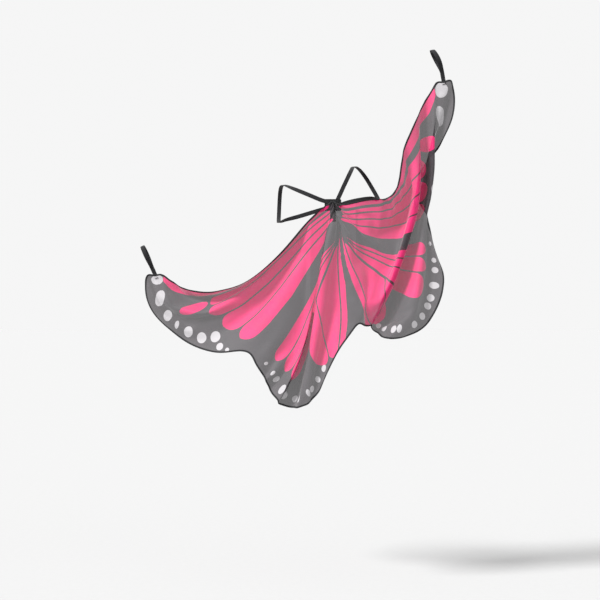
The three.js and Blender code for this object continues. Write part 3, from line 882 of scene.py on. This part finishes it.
def cloth_finish():
    """Sheer printed voile: the dyes, the open weave, small creases and a soft sheen."""
    f = Finish("printed_voile")
    on_sheet = f.node("ShaderNodeUVMap", {"uv_map": "OFBake"})
    cut = f.node("ShaderNodeMapping", inputs={
        "Vector": on_sheet, "Scale": (CUT_WIDTH, CUT_HEIGHT, 1),
    })
    u, v, _ = f.axes(cut)
    warp_yarn = (u * (2 * math.pi / YARN)).sine()
    weft_yarn = (v * (2 * math.pi / YARN)).sine()
    weave = warp_yarn * weft_yarn
    slub = f.noise(cut, 0.35, 3)
    cloudy = f.noise(cut, 0.022, 2)
    creases = f.noise(cut, 0.06, 4, 0.6)
    bleed = (slub - 0.5) * 1.1
    fields = {layer: f.attribute("print_" + layer) + bleed for layer in PRINT_LAYERS}
    printed = {layer: (field * DYE_EDGE + 0.5).clamped() for layer, field in fields.items()}
    pink = printed["a"].greatest(printed["b"]).greatest(printed["c"])
    pool = (cloudy * 1.6 - 0.3 + weave * 0.10).clamped()
    black = f.mix(pool, DYE_BLACK, DYE_BLACK_THIN)
    rose = f.mix(pool, DYE_PINK_DEEP, DYE_PINK)
    dyed = f.mix(printed["spots"], f.mix(pink, black, rose), DYE_WHITE)
    cover = 0.86 + pink * 0.05 + printed["spots"] * 0.05 + weave * 0.05 + (slub - 0.5) * 0.06
    height = weave * 0.06 + slub * 0.10 + creases * 1.6
    return f.surface(
        Base_Color=dyed, Alpha=cover.clamped(), Roughness=0.62 + (cloudy - 0.5) * 0.14,
        Normal=f.bump(height, 0.55, MM), Sheen_Weight=0.35, Sheen_Roughness=0.45,
        Specular_IOR_Level=0.28,
    )


def hem_finish():
    """Close black overlock thread: paler in random fuzz as wear, and paler on its proud strands as a
    painted highlight.
    """
    f = Finish("overlock_thread")
    place = f.place_mm()
    x, y, z = f.axes(place)
    strands = ((x + z * 1.3 + y) * 7.0).sine()
    fuzz = f.noise(place, 0.9, 3)
    # This mask is wear only in its fuzz term; its strands term paints a highlight on the proud strands.
    worn = (fuzz * 1.5 - 0.45 + strands * 0.12).clamped()
    return f.surface(
        Base_Color=f.mix(worn, BLACK_YARN, BLACK_YARN_PALE), Roughness=0.58 + fuzz * 0.2,
        Normal=f.bump(strands * 0.12 + fuzz * 0.2, 0.6, MM), Sheen_Weight=0.06,
        Specular_IOR_Level=0.3,
    )


def elastic_finish():
    """Flat black ribbed elastic, with its crosswise yarns, a little lint and a painted highlight on the
    raised knit.
    """
    f = Finish("ribbed_elastic")
    place = f.place_mm()
    x, y, z = f.axes(place)
    knit = ((x + y) * 5.2).sine() * ((z - y) * 5.2).sine()
    lint = f.noise(place, 0.5, 4, 0.7)
    # Paler in random lint, and paler on the raised knit as a painted highlight.
    lint_and_highlight = (lint * 1.8 - 0.65 + knit * 0.14).clamped()
    return f.surface(
        Base_Color=f.mix(lint_and_highlight, BLACK_YARN, BLACK_YARN_PALE), Roughness=0.78 + lint * 0.12,
        Normal=f.bump(knit * 0.16 + lint * 0.1, 0.7, MM), Sheen_Weight=0.08,
        Specular_IOR_Level=0.3,
    )


def twill_finish():
    """Black cotton twill tape with slanting ridges."""
    f = Finish("twill_tape")
    place = f.place_mm()
    x, _, z = f.axes(place)
    herringbone = ((x.maths("PINGPONG", 5.0) + z) * 6.0).sine()
    nap = f.noise(place, 0.8, 3)
    raised = (herringbone * 0.35 + nap * 0.7).clamped()
    return f.surface(
        Base_Color=f.mix(raised, BLACK_YARN, BLACK_YARN_PALE), Roughness=0.8 + nap * 0.12,
        Normal=f.bump(herringbone * 0.18 + nap * 0.1, 0.8, MM), Sheen_Weight=0.25,
    )


def thread_finish():
    """Twisted black sewing thread."""
    f = Finish("sewing_thread")
    place = f.place_mm()
    x, y, z = f.axes(place)
    twist = ((x * 1.2 + z + y * 0.8) * 11.0).sine()
    fuzz = f.noise(place, 1.6, 2)
    return f.surface(
        Base_Color=f.mix((twist * 0.4 + fuzz * 0.6).clamped(), BLACK_YARN, BLACK_YARN_PALE),
        Roughness=0.5 + fuzz * 0.2, Normal=f.bump(twist * 0.1, 0.6, MM),
    )


def label_finish():
    """Blank white satin ribbon with fine crosswise yarns."""
    f = Finish("blank_label")
    place = f.place_mm()
    _, _, z = f.axes(place)
    yarns = (z * 12.0).sine()
    soft = f.noise(place, 0.25, 2)
    return f.surface(
        Base_Color=f.mix((soft * 1.4 - 0.2 + yarns * 0.1).clamped(), LABEL_SHADE, LABEL_WHITE),
        Roughness=0.36 + soft * 0.2, Normal=f.bump(yarns * 0.05 + soft * 0.3, 0.5, MM),
        Sheen_Weight=0.1,
    )


# ------------------------------------------------------------ the pieces

LEFT_SWING = ((-0.11, 0, 0), (-0.19, 0, 0))
RIGHT_SWING = ((0.09, 0, 0), (0.17, 0, 0))


def add_wings(finishes):
    """The two halves of the sheet and the overlocked thread along each free edge."""
    points, quads, places = fine_sheet()
    for side, sign, swing, body in (
        ("left", -1, LEFT_SWING, "left_wing"), ("right", 1, RIGHT_SWING, "right_wing"),
    ):
        sheet, corners, faces, flat = sheet_half(
            f"wing_sheet_{side}", sign, points, quads, places, finishes["cloth"],
        )
        hem = skin_piece(
            f"hem_{side}", [hem_shell(corners, faces, flat)], finishes["hem"], None,
        )
        for piece in (sheet, hem):
            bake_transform(piece)
        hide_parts(f"cloth_{side}_wing")
        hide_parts(f"edge_{side}_wing", f"edge_top_{side}")
        if side == "left":
            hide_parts("cloth_back")
            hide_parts("edge_hindwings")
        corner = flat[faces]
        diagonals = corner[:, 2] - corner[:, 0], corner[:, 3] - corner[:, 1]
        area = np.abs(diagonals[0][:, 0] * diagonals[1][:, 1] - diagonals[0][:, 1] * diagonals[1][:, 0])
    return points / MM


def add_shoulder_loop(side, route, finishes):
    sign = -1 if side == "left" else 1
    name = f"shoulder_strap_{side}"
    strap = skin_piece(name, [strap_shell(route, BAND_PLANE)], finishes["elastic"], None)
    sign * 0.026
    sign * 0.036
    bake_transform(strap)
    nodes = [f"shoulder_loop_{side}", f"strap_end_{side}_over", f"strap_end_{side}_under"]
    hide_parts(*nodes)
    for end, (first, second) in (("over", route[:2]), ("under", route[:-3:-1])):
        run, rise = second[0] - first[0], second[2] - first[2]
        node = f"tack_{side}_{end}"
        bar_tack(f"stitched_{node}", node, (-rise, 0, run), "back", finishes["thread"])


def add_wrist_loop(side, finishes):
    route = wrist_route(WRISTS[side]["lean"])
    ring = strap_shell(route, 0)
    tab_route = [(0, 0, -TAB_HEIGHT - 0.4, 0, -1, 0), (0, 0, -8, 0, -1, 0), (0, 0, 3.0, 0, -1, 0)]
    legs = [
        [(0, y * share, height, 0, y, 0) for share, height in LEG_ROUTE]
        for y in (LEG_SPREAD, -LEG_SPREAD)
    ]
    stitch_rows = []
    for height in LEG_STITCH_HEIGHTS:
        for front in (-1, 1):
            y = front * (LEG_SPREAD + ELASTIC_THICK / 2)
            row = zigzag_row(LEG_STITCH_HALF, 9, 0.35, lambda x, z: (x, y, height + z))
            stitch_rows.append(thread_shell(row, TAB_THREAD))
    shells = [ring, strap_shell(tab_route, 0)] + [strap_shell(leg, 0) for leg in legs] + stitch_rows
    loop = skin_piece(
        f"wrist_strap_{side}", [placed_at_wrist(s, side) for s in shells], finishes["elastic"],
        None,
    )
    start, end = (Vector((x, 0, z)) * MM for x, z in (wrist_place(side, 0, at) for at in (-3, 4)))
    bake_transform(loop)
    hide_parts(f"wrist_loop_{side}", f"wrist_tab_{side}")
    turn = math.radians(WRISTS[side]["turn"])
    across = (math.cos(turn), 0, -math.sin(turn))
    node = f"tack_wrist_{side}"
    bar_tack(f"stitched_{node}", node, across, f"{side}_wing", finishes["thread"])


def add_gather_stitches(points, finishes):
    """Two rows of running stitches over the pleats below the neck."""
    for row in ("upper", "lower"):
        node = f"gather_stitch_{row}"
        low, high = (np.array(corner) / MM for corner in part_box(node))
        height = (low[2] + high[2]) / 2
        places = []
        for x in np.arange(low[0], high[0] + 0.1, 0.5):
            near = np.hypot(points[:, 0] - x, points[:, 2] - height) < 2.2
            places.append((x, points[near, 1].min() if near.any() else low[1], height))
        places = np.array(places)
        places[:, 1] = softened(places[:, 1:2], 2)[:, 0] - 0.35
        stitches = [places[i:i + 6] for i in range(0, len(places) - 5, 8)]
        shells = [thread_shell(stitch + (0, -0.2, 0), RUNNING_THREAD) for stitch in stitches]
        piece = skin_piece(f"running_stitch_{row}", shells, finishes["thread"], "back")
        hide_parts(node)


def plate(name, node, finish, corner, rounding):
    """A thin sewn plate, from a block at its CAD place: round corners and soft edges."""
    low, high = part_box(node)
    bpy.ops.object.select_all(action="DESELECT")
    bpy.ops.mesh.primitive_cube_add(size=1, location=(low + high) / 2)
    piece = bpy.context.object
    piece.name = piece.data.name = name
    piece.scale = high - low
    bpy.ops.object.transform_apply(location=True, rotation=True, scale=True)
    bpy.ops.object.mode_set(mode="EDIT")
    bpy.ops.mesh.select_all(action="DESELECT")
    bpy.ops.object.mode_set(mode="OBJECT")
    for edge in piece.data.edges:
        a, b = (piece.data.vertices[i].co for i in edge.vertices)
        edge.select = abs(a.y - b.y) > 1e-5
    bpy.ops.object.mode_set(mode="EDIT")
    bpy.ops.mesh.select_mode(type="EDGE")
    bpy.ops.mesh.bevel(offset=corner * MM, segments=6, affect="EDGES")
    bpy.ops.object.mode_set(mode="OBJECT")
    soft = piece.modifiers.new("soft_edge", "BEVEL")
    soft.width = rounding * MM
    soft.segments = 3
    soft.limit_method = "ANGLE"
    bpy.ops.object.modifier_apply(modifier="soft_edge")
    bpy.ops.object.shade_smooth_by_angle(angle=SMOOTH_UNDER)
    piece.data.materials.clear()
    piece.data.materials.append(finish)
    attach(piece, "back")
    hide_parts(node)
    return np.array(low) / MM, np.array(high) / MM


def running_border(low, high, inset, depth):
    """Stitches round a plate, a little in from its edge, on the wearer's side."""
    x1, x2, z1, z2 = low[0] + inset, high[0] - inset, low[2] + inset, high[2] - inset
    outline = [(x1, z1), (x2, z1), (x2, z2), (x1, z2), (x1, z1)]
    shells = []
    for (xa, za), (xb, zb) in zip(outline, outline[1:]):
        length = math.hypot(xb - xa, zb - za)
        count = round(length / 3)
        for k in range(count):
            share = [(k + s) / count for s in (0.12, 0.5, 0.88)]
            lift = (0, 0.22, 0)
            stitch = [(xa + (xb - xa) * s, depth + h, za + (zb - za) * s) for s, h in zip(share, lift)]
            shells.append(thread_shell(stitch, BORDER_THREAD))
    return shells


def add_neck(finishes):
    """The tape that the straps are sewn to, its stitching, and the blank label under it."""
    low, high = plate("twill_neck_tape", "neck_tape", finishes["tape"], 3.5, 0.3)
    border = running_border(low, high, 2.2, high[1] - 0.02)
    skin_piece("neck_tape_stitching", border, finishes["thread"], "back")
    low, high = plate("satin_label", "care_label", finishes["label"], 1.2, 0.12)
    hems = []
    for z in (low[2] + 2, high[2] - 2):
        row = zigzag_row(LABEL_STITCH_HALF, 12, 0.1, lambda x, up: (x, high[1], z + up))
        hems.append(thread_shell(row, LABEL_THREAD))
    skin_piece("label_stitching", hems, finishes["thread"], "back")


# ------------------------------------------------------------ the room


FLOOR_SIZE, FLOOR_HEIGHT = 60, -0.935  # where the wearer would stand
FLOOR_DARK, FLOOR_LIGHT = colour(0.46, 0.46, 0.46), colour(0.48, 0.48, 0.48)
SKY_STRENGTH = 0.92
LENS = 85
CAMERA_PLACE = (-0.079, -3.4, -0.228)


def add_light(name, place, softness, power):
    light = bpy.data.lights.new(name, "SUN")
    light.angle = math.radians(softness)
    light.energy = power
    lamp = bpy.data.objects.new(name, light)
    bpy.context.scene.collection.objects.link(lamp)
    lamp.location = place
    lamp.rotation_euler = (-Vector(place)).to_track_quat("-Z", "Y").to_euler()


def add_room():
    """A pale floor where the wearer would stand, a pale sky and soft studio light."""
    bpy.ops.object.select_all(action="DESELECT")
    bpy.ops.mesh.primitive_plane_add(size=FLOOR_SIZE, location=(0, 0, FLOOR_HEIGHT))
    floor = bpy.context.object
    floor.name = "studio_floor"
    f = Finish("pale_floor")
    speckle = f.noise(f.place(), 60.0)
    floor.data.materials.append(f.surface(
        Base_Color=f.mix(speckle, FLOOR_DARK, FLOOR_LIGHT), Roughness=0.9,
        Specular_IOR_Level=0.0,
    ))
    world = bpy.data.worlds.new("pale_sky")
    bpy.context.scene.world = world
    world.use_nodes = True
    sky = world.node_tree.nodes["Background"]
    sky.inputs["Color"].default_value = colour(1, 1, 1)
    sky.inputs["Strength"].default_value = SKY_STRENGTH
    add_light("key", (-2.2, -1.6, 2.2), softness=14, power=5.0)
    add_light("fill", (2.4, -2.2, 0.9), softness=50, power=0.5)


def add_camera():
    camera = bpy.data.cameras.new("camera")
    camera.lens = LENS
    seen = bpy.data.objects.new("camera", camera)
    bpy.context.scene.collection.objects.link(seen)
    seen.location = CAMERA_PLACE
    seen.rotation_euler = (math.radians(90), 0, 0)
    bpy.context.scene.camera = seen
    bpy.context.scene.view_settings.view_transform = "Standard"


def main():
    add_camera()
    add_room()
    finishes = {
        "cloth": cloth_finish(), "hem": hem_finish(), "elastic": elastic_finish(),
        "tape": twill_finish(), "thread": thread_finish(), "label": label_finish(),
    }
    points = add_wings(finishes)
    add_gather_stitches(points, finishes)
    add_neck(finishes)
    for side, route in (("left", LEFT_SHOULDER), ("right", RIGHT_SHOULDER)):
        add_shoulder_loop(side, route, finishes)
    for side in ("left", "right"):
        add_wrist_loop(side, finishes)


main()
